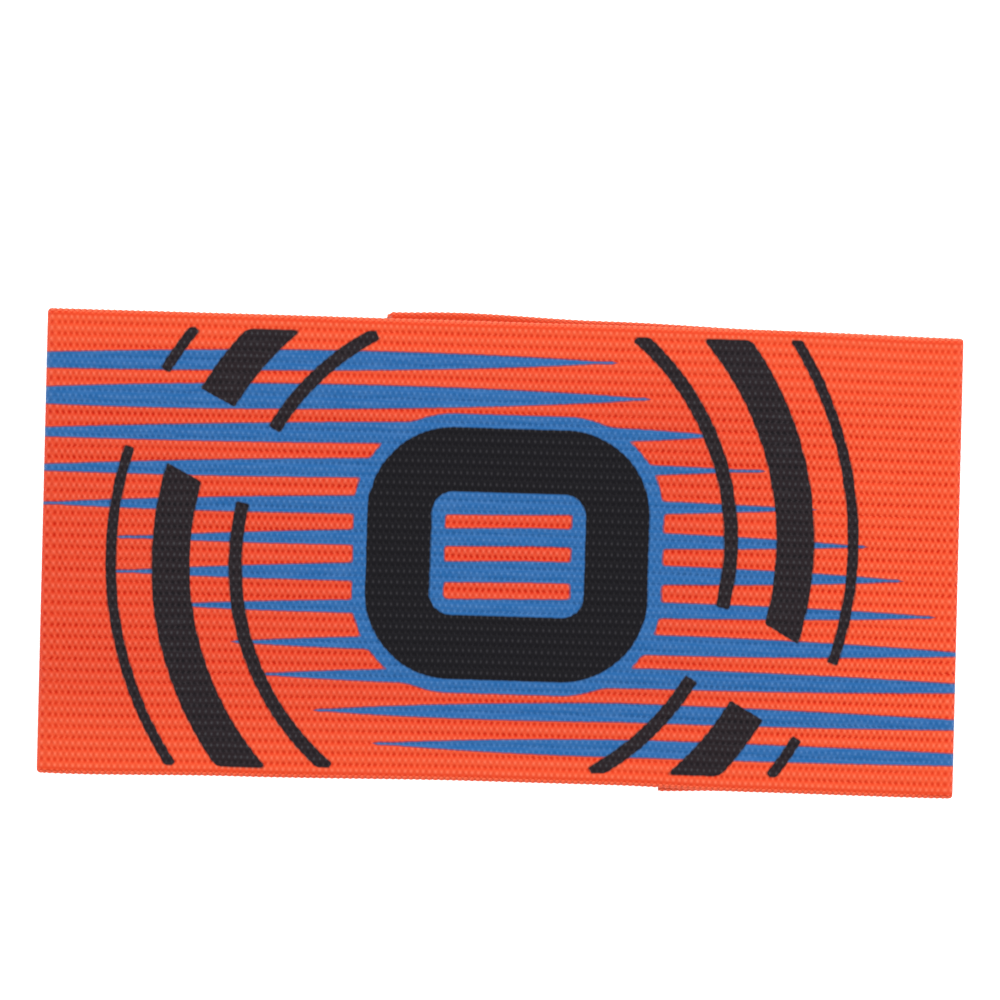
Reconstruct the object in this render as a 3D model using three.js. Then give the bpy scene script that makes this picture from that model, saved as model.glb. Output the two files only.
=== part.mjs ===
import * as THREE from 'three';

// A wide elastic armband that lies flat as a closed loop, with its printed front up.
// Millimetres. X runs along the folded band, Y across its width, and Z up from the
// surface that it lies on. The origin is on the underside, below the middle of the front.

// The elastic strip
const BAND_WIDTH = 75;
const WALL = 1.4;
const EDGE_BEVEL = 0.3;
const FOLDED_LENGTH = 149.2;
const FOLD_HEIGHT = 4.8;
const FOLD_LEAN = 0.35 * Math.PI / 180;

// The overlap at the back: the lower tail lies on the surface and the hemmed upper tail over it
const UPPER_TAIL_REACH = 37.3;
const OVERLAP_LENGTH = 56.6;
const HEM_LENGTH = 10.7;
const HEM_GAP = 0.3;
const RAMP_LENGTH = 22;

// The hook-and-loop tape pressed together between the two tails
const TAPE_THICKNESS = 2.2;
const TAPE_WIDTH = 66;
const TAPE_CORNER = 3;
const TAPE_END_INSET = 7.3;
const TAPE_HEM_INSET = 6;
const SEAT_GAP = 0.3;

// Clear height left between the hem and the front
const HOLLOW_OVER_HEM = 1.7;

// Longest step along a straight or gently bent stretch, and the steps in a tight turn
const LONG_STEP = 4;
const RAMP_STEPS = 12;
const FOLD_STEPS = 12;
const HEM_STEPS = 8;

// Levels of the strip's centreline, and where each turn has its centre
const FLOOR_LEVEL = WALL / 2;
const TAPE_LEVEL = WALL + SEAT_GAP;
const UPPER_TAIL_LEVEL = TAPE_LEVEL + TAPE_THICKNESS + SEAT_GAP + WALL / 2;
const HEM_RADIUS = (WALL + HEM_GAP) / 2;
const HEM_LEVEL = UPPER_TAIL_LEVEL + 2 * HEM_RADIUS;
const FOLD_RADIUS = (FOLD_HEIGHT - WALL) / 2;
const FOLD_CENTRE_X = (FOLDED_LENGTH - FOLD_HEIGHT) / 2;
const FOLD_CENTRE_Z = FLOOR_LEVEL + FOLD_RADIUS;
const HEM_CENTRE_X = UPPER_TAIL_REACH - HEM_RADIUS - WALL / 2;
const LOWER_TAIL_END = UPPER_TAIL_REACH - OVERLAP_LENGTH;
const TAPE_START = LOWER_TAIL_END + TAPE_END_INSET;
const TAPE_END = UPPER_TAIL_REACH - TAPE_HEM_INSET;

// Where the strip's two edges run, as shares of BAND_WIDTH, at shares of each stretch's length
const EDGES = [
  { stretch: 'lower_tail', along: 0.00, low: -0.478, high: 0.519 },
  { stretch: 'lower_tail', along: 0.12, low: -0.478, high: 0.522 },
  { stretch: 'lower_tail', along: 0.39, low: -0.485, high: 0.513 },
  { stretch: 'lower_tail', along: 0.71, low: -0.494, high: 0.504 },
  { stretch: 'front', along: 0.02, low: -0.500, high: 0.498 },
  { stretch: 'front', along: 0.22, low: -0.498, high: 0.504 },
  { stretch: 'front', along: 0.37, low: -0.492, high: 0.504 },
  { stretch: 'front', along: 0.52, low: -0.492, high: 0.504 },
  { stretch: 'front', along: 0.79, low: -0.498, high: 0.505 },
  { stretch: 'front', along: 0.98, low: -0.504, high: 0.505 },
  { stretch: 'left_back', along: 0.40, low: -0.498, high: 0.502 },
  { stretch: 'upper_tail', along: 0.10, low: -0.490, high: 0.502 },
  { stretch: 'upper_tail', along: 0.75, low: -0.491, high: 0.502 },
  { stretch: 'hem_fold', along: 0.50, low: -0.498, high: 0.501 },
  { stretch: 'hem', along: 1.00, low: -0.502, high: 0.498 },
];

// Centreline of the whole strip, from the lower tail's cut end to the hem's, seen from the side
function stretches() {
  const peak = frontPeak();
  const right = foldTangent(peak);
  const left = new THREE.Vector2(-right.x, right.y);
  const lift = Math.atan2(right.x - FOLD_CENTRE_X, right.y - FOLD_CENTRE_Z);
  const rampStart = TAPE_START - RAMP_LENGTH;
  const rampBend = RAMP_LENGTH / 2;
  const hemCentreZ = UPPER_TAIL_LEVEL + HEM_RADIUS;
  const hemEnd = UPPER_TAIL_REACH - HEM_LENGTH;
  return [
    line('lower_tail', LOWER_TAIL_END, FOLD_CENTRE_X, FLOOR_LEVEL),
    turn('right_fold', FOLD_CENTRE_X, FOLD_CENTRE_Z, FOLD_RADIUS, -Math.PI / 2, Math.PI / 2 - lift, FOLD_STEPS),
    bend('front', new THREE.QuadraticBezierCurve(right, peak, left), Math.ceil(FOLDED_LENGTH / LONG_STEP)),
    turn('left_fold', -FOLD_CENTRE_X, FOLD_CENTRE_Z, FOLD_RADIUS, Math.PI / 2 + lift, 3 * Math.PI / 2, FOLD_STEPS),
    line('left_back', -FOLD_CENTRE_X, rampStart, FLOOR_LEVEL),
    bend('ramp', new THREE.CubicBezierCurve(
      new THREE.Vector2(rampStart, FLOOR_LEVEL),
      new THREE.Vector2(rampStart + rampBend, FLOOR_LEVEL),
      new THREE.Vector2(TAPE_START - rampBend, UPPER_TAIL_LEVEL),
      new THREE.Vector2(TAPE_START, UPPER_TAIL_LEVEL),
    ), RAMP_STEPS),
    line('upper_tail', TAPE_START, HEM_CENTRE_X, UPPER_TAIL_LEVEL),
    turn('hem_fold', HEM_CENTRE_X, hemCentreZ, HEM_RADIUS, -Math.PI / 2, Math.PI / 2, HEM_STEPS),
    line('hem', HEM_CENTRE_X, hemEnd, HEM_LEVEL),
  ];
}

function line(name, fromX, toX, level) {
  const curve = new THREE.LineCurve(new THREE.Vector2(fromX, level), new THREE.Vector2(toX, level));
  return { name, curve, steps: Math.ceil(Math.abs(toX - fromX) / LONG_STEP) };
}

function turn(name, centreX, centreZ, radius, fromAngle, toAngle, steps) {
  return { name, curve: new THREE.EllipseCurve(centreX, centreZ, radius, radius, fromAngle, toAngle), steps };
}

function bend(name, curve, steps) {
  return { name, curve, steps };
}

// The front arches as a parabola that clears the hem. This is the point where the tangents
// at its two ends meet, twice as high above the folds as the middle of the front.
function frontPeak() {
  const foldTop = FOLD_CENTRE_Z + FOLD_RADIUS;
  const levelOverHem = HEM_LEVEL + HOLLOW_OVER_HEM + WALL;
  const shareOfRise = 1 - (UPPER_TAIL_REACH / FOLD_CENTRE_X) ** 2;
  const rise = (levelOverHem - foldTop) / shareOfRise;
  return new THREE.Vector2(0, foldTop + 2 * rise);
}

// Where a line from the peak touches the right fold's turn
function foldTangent(peak) {
  const toPeak = new THREE.Vector2(peak.x - FOLD_CENTRE_X, peak.y - FOLD_CENTRE_Z);
  const angle = toPeak.angle() - Math.acos(FOLD_RADIUS / toPeak.length());
  return new THREE.Vector2(
    FOLD_CENTRE_X + FOLD_RADIUS * Math.cos(angle),
    FOLD_CENTRE_Z + FOLD_RADIUS * Math.sin(angle),
  );
}

// Stations along the strip: place, direction and distance from the start
function stations(parts) {
  const list = [];
  let start = 0;
  parts.forEach((part, index) => {
    part.start = start;
    part.length = part.curve.getLength();
    for (let step = index === 0 ? 0 : 1; step <= part.steps; step += 1) {
      const share = step / part.steps;
      const place = part.curve.getPointAt(share);
      const heading = part.curve.getTangentAt(share);
      list.push({ place, heading, distance: start + share * part.length });
    }
    start += part.length;
  });
  return list;
}

// The edge table as distances along the strip and millimetres across it
function edgeRows(parts) {
  return EDGES.map((row) => {
    const part = parts.find((candidate) => candidate.name === row.stretch);
    return {
      distance: part.start + row.along * part.length,
      low: row.low * BAND_WIDTH,
      high: row.high * BAND_WIDTH,
    };
  });
}

function edgesAt(rows, distance) {
  const next = rows.findIndex((row) => row.distance >= distance);
  const after = rows[next === -1 ? rows.length - 1 : next];
  const before = rows[Math.max(0, next === -1 ? rows.length - 1 : next - 1)];
  const share = THREE.MathUtils.smoothstep(distance, before.distance, after.distance);
  return {
    low: THREE.MathUtils.lerp(before.low, after.low, share),
    high: THREE.MathUtils.lerp(before.high, after.high, share),
  };
}

// The strip's section with bevelled edges: distance across, and depth from the outer
// face (negative) to the face towards the arm (positive), counter-clockwise along the strip
function section(low, high) {
  const half = WALL / 2;
  return [
    [low + EDGE_BEVEL, -half],
    [high - EDGE_BEVEL, -half],
    [high, -half + EDGE_BEVEL],
    [high, half - EDGE_BEVEL],
    [high - EDGE_BEVEL, half],
    [low + EDGE_BEVEL, half],
    [low, half - EDGE_BEVEL],
    [low, -half + EDGE_BEVEL],
  ];
}

function stripGeometry() {
  const parts = stretches();
  const list = stations(parts);
  const rows = edgeRows(parts);
  const lean = Math.tan(FOLD_LEAN);
  const positions = [];
  list.forEach(({ place, heading, distance }) => {
    const { low, high } = edgesAt(rows, distance);
    section(low, high).forEach(([across, depth]) => {
      const x = place.x - heading.y * depth - lean * across;
      const z = place.y + heading.x * depth;
      positions.push(x, across, z);
    });
  });

  const corners = section(0, 1).length;
  const indices = [];
  for (let ring = 0; ring < list.length - 1; ring += 1) {
    for (let corner = 0; corner < corners; corner += 1) {
      const a = ring * corners + corner;
      const b = ring * corners + (corner + 1) % corners;
      indices.push(a, b, b + corners, a, b + corners, a + corners);
    }
  }
  const last = (list.length - 1) * corners;
  for (let corner = 1; corner < corners - 1; corner += 1) {
    indices.push(0, corner + 1, corner);
    indices.push(last, last + corner, last + corner + 1);
  }

  const geometry = new THREE.BufferGeometry();
  geometry.setAttribute('position', new THREE.Float32BufferAttribute(positions, 3));
  geometry.setIndex(indices);
  geometry.computeVertexNormals();
  return geometry;
}

function elasticBand() {
  const material = new THREE.MeshStandardMaterial({ color: 0xf35a38, roughness: 0.85, metalness: 0 });
  const mesh = new THREE.Mesh(stripGeometry(), material);
  mesh.name = 'elastic_band';
  return mesh;
}

function closureTape() {
  const halfLength = (TAPE_END - TAPE_START) / 2;
  const halfWidth = TAPE_WIDTH / 2;
  const outline = new THREE.Shape();
  outline.moveTo(-halfLength + TAPE_CORNER, -halfWidth);
  outline.lineTo(halfLength - TAPE_CORNER, -halfWidth);
  outline.absarc(halfLength - TAPE_CORNER, -halfWidth + TAPE_CORNER, TAPE_CORNER, -Math.PI / 2, 0);
  outline.lineTo(halfLength, halfWidth - TAPE_CORNER);
  outline.absarc(halfLength - TAPE_CORNER, halfWidth - TAPE_CORNER, TAPE_CORNER, 0, Math.PI / 2);
  outline.lineTo(-halfLength + TAPE_CORNER, halfWidth);
  outline.absarc(-halfLength + TAPE_CORNER, halfWidth - TAPE_CORNER, TAPE_CORNER, Math.PI / 2, Math.PI);
  outline.lineTo(-halfLength, -halfWidth + TAPE_CORNER);
  outline.absarc(-halfLength + TAPE_CORNER, -halfWidth + TAPE_CORNER, TAPE_CORNER, Math.PI, 3 * Math.PI / 2);
  const geometry = new THREE.ExtrudeGeometry(outline, {
    depth: TAPE_THICKNESS,
    bevelEnabled: false,
    curveSegments: 6,
  });
  const material = new THREE.MeshStandardMaterial({ color: 0x29272b, roughness: 0.95, metalness: 0 });
  const mesh = new THREE.Mesh(geometry, material);
  mesh.name = 'closure_tape';
  mesh.position.set((TAPE_START + TAPE_END) / 2, 0, TAPE_LEVEL);
  return mesh;
}

const armband = new THREE.Group();
armband.name = 'captain_armband';
armband.add(elasticBand(), closureTape());

export default armband;
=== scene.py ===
import math
import bpy
import numpy as np
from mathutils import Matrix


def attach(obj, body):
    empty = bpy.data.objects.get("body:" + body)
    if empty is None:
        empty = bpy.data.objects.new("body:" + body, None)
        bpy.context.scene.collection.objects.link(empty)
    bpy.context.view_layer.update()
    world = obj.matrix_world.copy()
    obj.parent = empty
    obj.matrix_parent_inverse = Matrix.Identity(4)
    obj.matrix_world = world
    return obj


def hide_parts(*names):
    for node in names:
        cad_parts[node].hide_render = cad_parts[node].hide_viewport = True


# A captain's armband of printed ribbed elastic. It lies flat as a closed loop, printed
# front up, with its two tails joined at the back by hook-and-loop tape.
# Sizes are in millimetres until a mesh is made. X runs along the band, Y across it, Z up.

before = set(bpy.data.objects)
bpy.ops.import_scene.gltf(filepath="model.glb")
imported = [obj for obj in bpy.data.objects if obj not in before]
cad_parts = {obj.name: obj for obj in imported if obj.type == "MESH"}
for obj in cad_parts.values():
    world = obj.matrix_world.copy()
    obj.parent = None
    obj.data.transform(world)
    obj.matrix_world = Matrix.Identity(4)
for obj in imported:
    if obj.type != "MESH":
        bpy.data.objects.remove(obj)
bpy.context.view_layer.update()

MM = 0.001
BODY = "root"


def table(columns, rows):
    """A table's rows, with their columns by name."""
    return [dict(zip(columns, row)) for row in rows]


# The elastic strip and the way it is folded, as in the CAD model
BAND_WIDTH = 75.0
WALL = 1.4
FOLDED_LENGTH = 149.2
FOLD_HEIGHT = 4.8
FOLD_LEAN = math.tan(math.radians(0.35))
UPPER_TAIL_REACH = 37.3
OVERLAP_LENGTH = 56.6
HEM_LENGTH = 10.7
HEM_GAP = 0.3
RAMP_LENGTH = 22.0
TAPE_THICKNESS = 2.2
TAPE_WIDTH = 66.0
TAPE_CORNER = 3.0
TAPE_END_INSET = 7.3
TAPE_HEM_INSET = 6.0
SEAT_GAP = 0.3
HOLLOW_OVER_HEM = 1.7

# Levels and places worked out from those sizes
FLOOR_LEVEL = WALL / 2
TAPE_LEVEL = WALL + SEAT_GAP
UPPER_TAIL_LEVEL = TAPE_LEVEL + TAPE_THICKNESS + SEAT_GAP + WALL / 2
HEM_RADIUS = (WALL + HEM_GAP) / 2
HEM_LEVEL = UPPER_TAIL_LEVEL + 2 * HEM_RADIUS
FOLD_RADIUS = (FOLD_HEIGHT - WALL) / 2
FOLD_CENTRE_X = (FOLDED_LENGTH - FOLD_HEIGHT) / 2
FOLD_CENTRE_Z = FLOOR_LEVEL + FOLD_RADIUS
HEM_CENTRE_X = UPPER_TAIL_REACH - HEM_RADIUS - WALL / 2
LOWER_TAIL_END = UPPER_TAIL_REACH - OVERLAP_LENGTH
TAPE_START = LOWER_TAIL_END + TAPE_END_INSET
TAPE_END = UPPER_TAIL_REACH - TAPE_HEM_INSET

# The knit: ribs run along the strip, and each has a stitch every STITCH_PITCH
RIB_COUNT = 41
RIB_DEPTH = 0.12
STITCH_PITCH = 0.99
# How much flatter the ribs are at a fold, and how far from it they recover
FOLD_FLATTENING = 0.7
FOLD_REACH = 3.0
# The beaded cord of edge yarn: its half width, how much narrower it is between two beads,
# how far it reaches into the band, and how much lower than the band it stands
SELVAGE_HALF_WIDTH = 0.42
SELVAGE_BEAD = 0.26
SELVAGE_OVERLAP = 0.06
SELVAGE_DROP = 0.02
SELVAGE_SIDES = 10
SELVAGE_ROWS_PER_STITCH = 4

# How the knit is drawn. Each mark's sharpness along the rib and across it:
SHARPNESS = {"pit": (1.5, 2.0), "slit": (1.7, 2.0), "dot": (2.5, 5.0)}
# How deep pits and slits are before noise varies it
MARK_DEPTH = 0.9
# The share of their depth that they keep at the strip's edges, and the ribs over which it fades
DEPTH_AT_EDGE = 0.7
CLOSED_RIBS = 9.0
# How strongly each mark shows in the bare cloth and in each ink, and how high it stands. In colour the
# dots are painted highlights, and the groove, slits and pits are painted shade
MARKS = {
    "cloth": {"groove_shade": 0.8, "crest_dot": 0.6, "valley_dot": 0.35, "slit": 0.95, "pit": 0.95},
    "blue": {"crest_dot": 0.35, "valley_dot": 0.3, "float": 0.7, "slit": 0.4, "pit": 0.5},
    "ring": {"crest_dot": 0.5, "valley_dot": 0.15, "float": 0.0, "slit": 0.0, "pit": 0.5},
    "arcs": {"crest_dot": 0.8, "valley_dot": 0.35, "float": 0.8, "slit": 0.0, "pit": 0.8},
    "height": {"crest_dot": 0.5, "valley_dot": 0.3, "pit": -0.7, "slit": -0.6, "fuzz": 0.3},
}
# The painted shade in the groove beside each edge cord: where it starts, is darkest and ends, in ribs
# from the edge
GROOVE_SHADE_SPAN = (0.1, 0.25, 0.5)
# Noise in the knit: its grains to a stitch and to a rib, and its strength. Those by rib change
# slowly along each rib and at once from one rib to the next
KNIT_NOISE = {
    "depth": (0.7, 1.4, 1.4),
    "depth_by_rib": (0.02, 5.3, 1.1),
    "drift_by_rib": (0.05, 3.7, 0.5),
    "jitter": (0.8, 1.6, 0.3),
    "float": (0.22, 3.0, 1.0),
    "fuzz": (3.0, 6.0, 1.0),
}

# Where the strip's edges run, as shares of BAND_WIDTH, at shares of each stretch's length
EDGES = [
    ("lower_tail", 0.00, -0.478, 0.513),
    ("lower_tail", 0.01, -0.478, 0.519),
    ("lower_tail", 0.12, -0.478, 0.522),
    ("lower_tail", 0.39, -0.485, 0.513),
    ("lower_tail", 0.71, -0.494, 0.504),
    ("front", 0.02, -0.500, 0.498),
    ("front", 0.22, -0.498, 0.504),
    ("front", 0.37, -0.492, 0.504),
    ("front", 0.52, -0.492, 0.504),
    ("front", 0.79, -0.498, 0.505),
    ("front", 0.98, -0.504, 0.505),
    ("left_back", 0.40, -0.498, 0.502),
    ("upper_tail", 0.10, -0.490, 0.502),
    ("upper_tail", 0.75, -0.491, 0.502),
    ("hem_fold", 0.50, -0.498, 0.501),
    ("hem", 1.00, -0.502, 0.498),
]

# The seams that hold the closure tape and the hem: stretch, face (-1 printed, 1 arm side),
# and the places (x, y) between which each runs
SEAM_LEFT, SEAM_RIGHT, SEAM_SIDE = -10.4, 29.7, 31.4
UPPER_SIDES_END = 25.6
HEM_SEAM, HEM_SEAM_SIDE = 27.7, 36.2
SEAMS = [
    ("lower_tail", -1, (SEAM_LEFT, -SEAM_SIDE), (SEAM_LEFT, SEAM_SIDE)),
    ("lower_tail", -1, (SEAM_LEFT, SEAM_SIDE), (SEAM_RIGHT, SEAM_SIDE)),
    ("lower_tail", -1, (SEAM_RIGHT, SEAM_SIDE), (SEAM_RIGHT, -SEAM_SIDE)),
    ("lower_tail", -1, (SEAM_RIGHT, -SEAM_SIDE), (SEAM_LEFT, -SEAM_SIDE)),
    ("upper_tail", 1, (SEAM_LEFT, -SEAM_SIDE), (SEAM_LEFT, SEAM_SIDE)),
    ("upper_tail", 1, (SEAM_LEFT, SEAM_SIDE), (UPPER_SIDES_END, SEAM_SIDE)),
    ("upper_tail", 1, (SEAM_LEFT, -SEAM_SIDE), (UPPER_SIDES_END, -SEAM_SIDE)),
    ("hem", -1, (HEM_SEAM, -HEM_SEAM_SIDE), (HEM_SEAM, HEM_SEAM_SIDE)),
    ("hem", -1, (SEAM_RIGHT, -SEAM_SIDE), (SEAM_RIGHT, SEAM_SIDE)),
]
STITCH_LENGTH = 2.2
STITCH_GAP = 0.5
THREAD_RADIUS = 0.16
# How deep a seam pulls the cloth in, and how far to its sides
PINCH_DEPTH = 0.26
PINCH_REACH = 0.55

# The print, in millimetres from the frame's origin as seen from above.
# Blue streaks: left tip, widest place and width, right tip, and how blunt each half is
STREAKS = table(("left", "widest", "width", "right", "blunt"), [
    ((-108.0, 28.5), (-38.0, 30.5), 3.4, (18.4, 31.7), (0.6, 0.7)),
    ((-98.0, 23.1), (-41.0, 24.55), 4.2, (24.0, 25.95), (0.7, 0.66)),
    ((-97.0, 17.1), (-14.0, 19.4), 3.5, (34.9, 20.3), (0.8, 0.57)),
    ((-90.0, 11.5), (-18.0, 13.55), 3.2, (43.0, 14.85), (0.8, 0.75)),
    ((-76.0, 6.1), (-10.0, 7.75), 3.1, (51.5, 8.85), (0.6, 0.7)),
    ((-63.0, 0.95), (5.0, 2.95), 3.0, (60.0, 3.05), (0.65, 0.65)),
    ((-63.5, -4.65), (4.0, -2.7), 3.5, (65.9, -2.35), (0.65, 0.58)),
    ((-54.0, -9.8), (12.0, -8.35), 2.75, (71.3, -8.1), (0.5, 0.53)),
    ((-43.6, -15.5), (24.0, -13.95), 3.3, (83.0, -14.05), (0.58, 0.8)),
    ((-38.5, -20.6), (25.0, -19.45), 3.3, (94.0, -19.6), (0.55, 0.75)),
    ((-29.9, -26.2), (20.0, -25.1), 3.1, (98.0, -25.7), (0.62, 0.65)),
    ((-20.1, -31.3), (25.0, -30.9), 2.9, (100.0, -31.3), (0.68, 0.46)),
])
# How wide a streak still is near its tips, and over what length the tips close
TIP_WIDTH = 0.45
TIP_LENGTH = 1.2
# Black arcs: side (-1 left, 1 right), centre, radius, stroke width, and the lowest and highest
# reach in Y, where the stroke is cut level. A gap parts each arc in two. Through a thick stroke
# it runs at a slant, with its reach in Y given at the X named "at". Through a thin stroke it is
# cut square. A thin arc's bottom and top are cut square too, trimmed by the two lengths given.
ARCS = table(("side", "centre", "radius", "width", "reach", "gap", "slant", "at", "trim"), [
    (-1, (-3.5, -1.5), 59.8, 1.75, (-35.9, 35.5), (15.8, 28.3), 0.0, 0.0, (0.0, 0.1)),
    (-1, (-1.05, -1.9), 52.5, 6.35, (-35.9, 35.5), (10.95, 25.8), -0.52, -50.0, None),
    (-1, (-0.12, -2.1), 42.9, 2.25, (-35.5, 35.75), (7.2, 19.2), 0.0, 0.0, (-0.1, 0.4)),
    (1, (-4.15, 2.25), 61.5, 1.8, (-34.9, 36.3), (-28.4, -16.2), 0.0, 0.0, (0.05, -0.25)),
    (1, (-5.0, 2.4), 52.95, 6.25, (-35.0, 36.1), (-25.7, -10.2), -0.57, 43.7, None),
    (1, (-5.9, 2.4), 43.35, 2.35, (-35.1, 36.0), (-19.2, -7.6), 0.0, 0.0, (0.0, -0.15)),
])
# How round the arcs' corners are, and the X that parts the left arcs from the right ones
ARC_CORNER = 0.42
THICK_END_CORNER = 0.85
ARCS_PART_AT = -3.0
# The plain block ring at the middle, its stroke, and the blue outline along both its edges
RING = {"centre": (1.2, 0.0), "half": (23.0, 20.5), "corner": 14.0}
RING_STROKE = 10.5
RING_OUTLINE = 2.2
# How round the blue is where streaks meet the outline, how soft an ink edge is, how dark its rim
INK_FILLET = 0.9
INK_EDGE = 0.17
EDGE_SHADE = 0.4
# How unevenly the print's edges run: the grain of three noises and how far each moves an edge,
# and how far each stitch does
SLOW_WANDER = (0.35, 0.3)
QUICK_WANDER = (1.6, 0.2)
ACROSS_WANDER = (0.9, 0.16)
STITCH_TOOTH = 0.05

# Colours, linear
# Painted light and shade: the orange on the rib crests as lit, in the valleys between them as shaded
ORANGE_CREST_LIT = (0.712, 0.095, 0.037)
ORANGE_VALLEY_SHADED = (0.693, 0.064, 0.018)
# Painted highlight on the raised yarn dots
ORANGE_HIGHLIGHT = (0.83, 0.170, 0.090)
# Painted shade: the pit and slit colours stand for the shade in the knit's recesses
ORANGE_PIT_SHADE = (0.52, 0.014, 0.001)
ORANGE_SLIT_SHADE = (0.60, 0.042, 0.011)
# Painted shade in the groove beside the edge cords
ORANGE_GROOVE_SHADE = (0.62, 0.045, 0.012)
EDGE_YARN_LIGHT = (0.76, 0.125, 0.058)
# The dark edge yarn serves the painted shade along the cord's slant and its uneven tone
EDGE_YARN_DARK = (0.66, 0.065, 0.024)
# Painted shade at the necks between the edge cord's beads
EDGE_YARN_NECK_SHADE = (0.34, 0.032, 0.014)
BLUE = (0.013, 0.104, 0.305)
# Painted shade in the blue's pits and slits
BLUE_PIT_SHADE = (0.010, 0.066, 0.20)
# The blue's raised yarn: a painted highlight on its dots, and yarn that floats through the ink
BLUE_YARN_AND_HIGHLIGHT = (0.095, 0.215, 0.45)
BLACK = (0.0047, 0.0042, 0.0062)
# Painted shade in the black's pits and slits
BLACK_PIT_SHADE = (0.003, 0.0026, 0.0045)
# The black's raised yarn: a painted highlight on its dots, and yarn that floats through the ink
BLACK_YARN_AND_HIGHLIGHT = (0.044, 0.042, 0.048)
ARC_BLACK = (0.0140, 0.0085, 0.0108)
INK_SHADE = (0.05, 0.012, 0.02)
SEALED_END = (0.42, 0.22, 0.18)
THREAD = (0.70, 0.085, 0.030)
TAPE_DARK = (0.006, 0.006, 0.007)
TAPE_LIGHT = (0.030, 0.029, 0.032)
FLOOR_DARK = (0.96, 0.96, 0.96)
FLOOR_LIGHT = (0.98, 0.98, 0.98)
FLOOR_GLOW = 0.5

# Painted shade over the middle of the front: the orange is darkened there, fading to the edges and the
# right end
MIDDLE_SHADE_TINT = (0.90, 0.80, 0.91)
MIDDLE_SHADE_FULL_TO_Y, MIDDLE_SHADE_GONE_BY_Y = 22.0, 37.0
MIDDLE_SHADE_FULL_TO_X, MIDDLE_SHADE_GONE_BY_X = 30.0, 62.0

# Finish: how rough and fuzzy the cloth is, how much smoother ink makes it, how much more the
# yarns that float on the blue show, how dark the painted shade at the edge cord's necks is, the
# stitches from the cut end over which its sealing fades, and how strong that is
CLOTH_ROUGHNESS = 0.85
CLOTH_SHEEN = 0.03
INK_SMOOTHING = 0.2
BLUE_FLOAT_LIFT = 0.1
NECK_SHADE_SHARE = 0.5
SEALED_STITCHES = (0.9, 0.2)
SEALED_SHARE = 0.8

# How much each pattern darkens the edge cord, its slant as painted shade and its noise as uneven
# yarn, and lightens the closure tape, and how much all of it is. Then the size of patterns: the tape's
# weave along and across, and noise and wave scales
CORD_SHADE = {"slant": 0.55, "uneven": 0.5, "all": 0.1}
TAPE_LIFT = {"weave": 0.6, "speckle": 0.5, "all": 0.2}
TAPE_WEAVE = (0.55, 0.7)
PLIES_SCALE = 700.0
SPECKLE_SCALE = 900.0
FLOOR_GRAIN_SCALE = 40.0

# The picture's frame: the photograph's scale, what lies at its middle, and its turn
PICTURE_WIDTH = 162.8
PICTURE_MIDDLE = (-0.29, 8.86)
PICTURE_TURN = math.radians(1.75)
CAMERA_HEIGHT = 5000.0
FOLD_LEVEL = 2.4


# The strip's route, and how many points are taken on a level stretch, a turn and a curve

LINE_POINTS, TURN_POINTS, CURVE_POINTS = 60, 120, 400


def level_line(first, last, z):
    x = first + (last - first) * np.linspace(0.0, 1.0, LINE_POINTS)
    return np.column_stack([x, np.full(LINE_POINTS, z)])


def turn(centre, radius, first, last):
    angle = np.linspace(first, last, TURN_POINTS)
    return centre + radius * np.column_stack([np.cos(angle), np.sin(angle)])


def bezier(*control):
    share = np.linspace(0.0, 1.0, CURVE_POINTS)[:, None]
    degree = len(control) - 1
    terms = [
        math.comb(degree, k) * share**k * (1 - share) ** (degree - k) * np.array(point)
        for k, point in enumerate(control)
    ]
    return sum(terms)


def unit(vectors):
    return vectors / np.linalg.norm(vectors, axis=1)[:, None]


def front_peak():
    """Where the tangents at the two ends of the arched front meet, above its middle."""
    fold_top = FOLD_CENTRE_Z + FOLD_RADIUS
    over_hem = HEM_LEVEL + HOLLOW_OVER_HEM + WALL
    share_of_rise = 1 - (UPPER_TAIL_REACH / FOLD_CENTRE_X) ** 2
    return (0.0, fold_top + 2 * (over_hem - fold_top) / share_of_rise)


def fold_lift(peak):
    """How far short of upright the right fold's turn ends, where the front leaves it."""
    along, up = peak[0] - FOLD_CENTRE_X, peak[1] - FOLD_CENTRE_Z
    touch = math.atan2(up, along) - math.acos(FOLD_RADIUS / math.hypot(along, up))
    return math.pi / 2 - touch


def route():
    """The strip's stretches from its lower end to its upper one, as points in X and Z."""
    peak = front_peak()
    lift = fold_lift(peak)
    touch = (
        FOLD_CENTRE_X + FOLD_RADIUS * math.sin(lift),
        FOLD_CENTRE_Z + FOLD_RADIUS * math.cos(lift),
    )
    ramp_start = TAPE_START - RAMP_LENGTH
    middle = (ramp_start + TAPE_START) / 2
    quarter = math.pi / 2
    fold_z, hem_z = FOLD_CENTRE_Z, UPPER_TAIL_LEVEL + HEM_RADIUS
    return {
        "lower_tail": level_line(LOWER_TAIL_END, FOLD_CENTRE_X, FLOOR_LEVEL),
        "right_fold": turn((FOLD_CENTRE_X, fold_z), FOLD_RADIUS, -quarter, quarter - lift),
        "front": bezier(touch, peak, (-touch[0], touch[1])),
        "left_fold": turn((-FOLD_CENTRE_X, fold_z), FOLD_RADIUS, quarter + lift, 3 * quarter),
        "left_back": level_line(-FOLD_CENTRE_X, ramp_start, FLOOR_LEVEL),
        "ramp": bezier(
            (ramp_start, FLOOR_LEVEL),
            (middle, FLOOR_LEVEL),
            (middle, UPPER_TAIL_LEVEL),
            (TAPE_START, UPPER_TAIL_LEVEL),
        ),
        "upper_tail": level_line(TAPE_START, HEM_CENTRE_X, UPPER_TAIL_LEVEL),
        "hem_fold": turn((HEM_CENTRE_X, hem_z), HEM_RADIUS, -quarter, quarter),
        "hem": level_line(HEM_CENTRE_X, UPPER_TAIL_REACH - HEM_LENGTH, HEM_LEVEL),
    }


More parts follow.
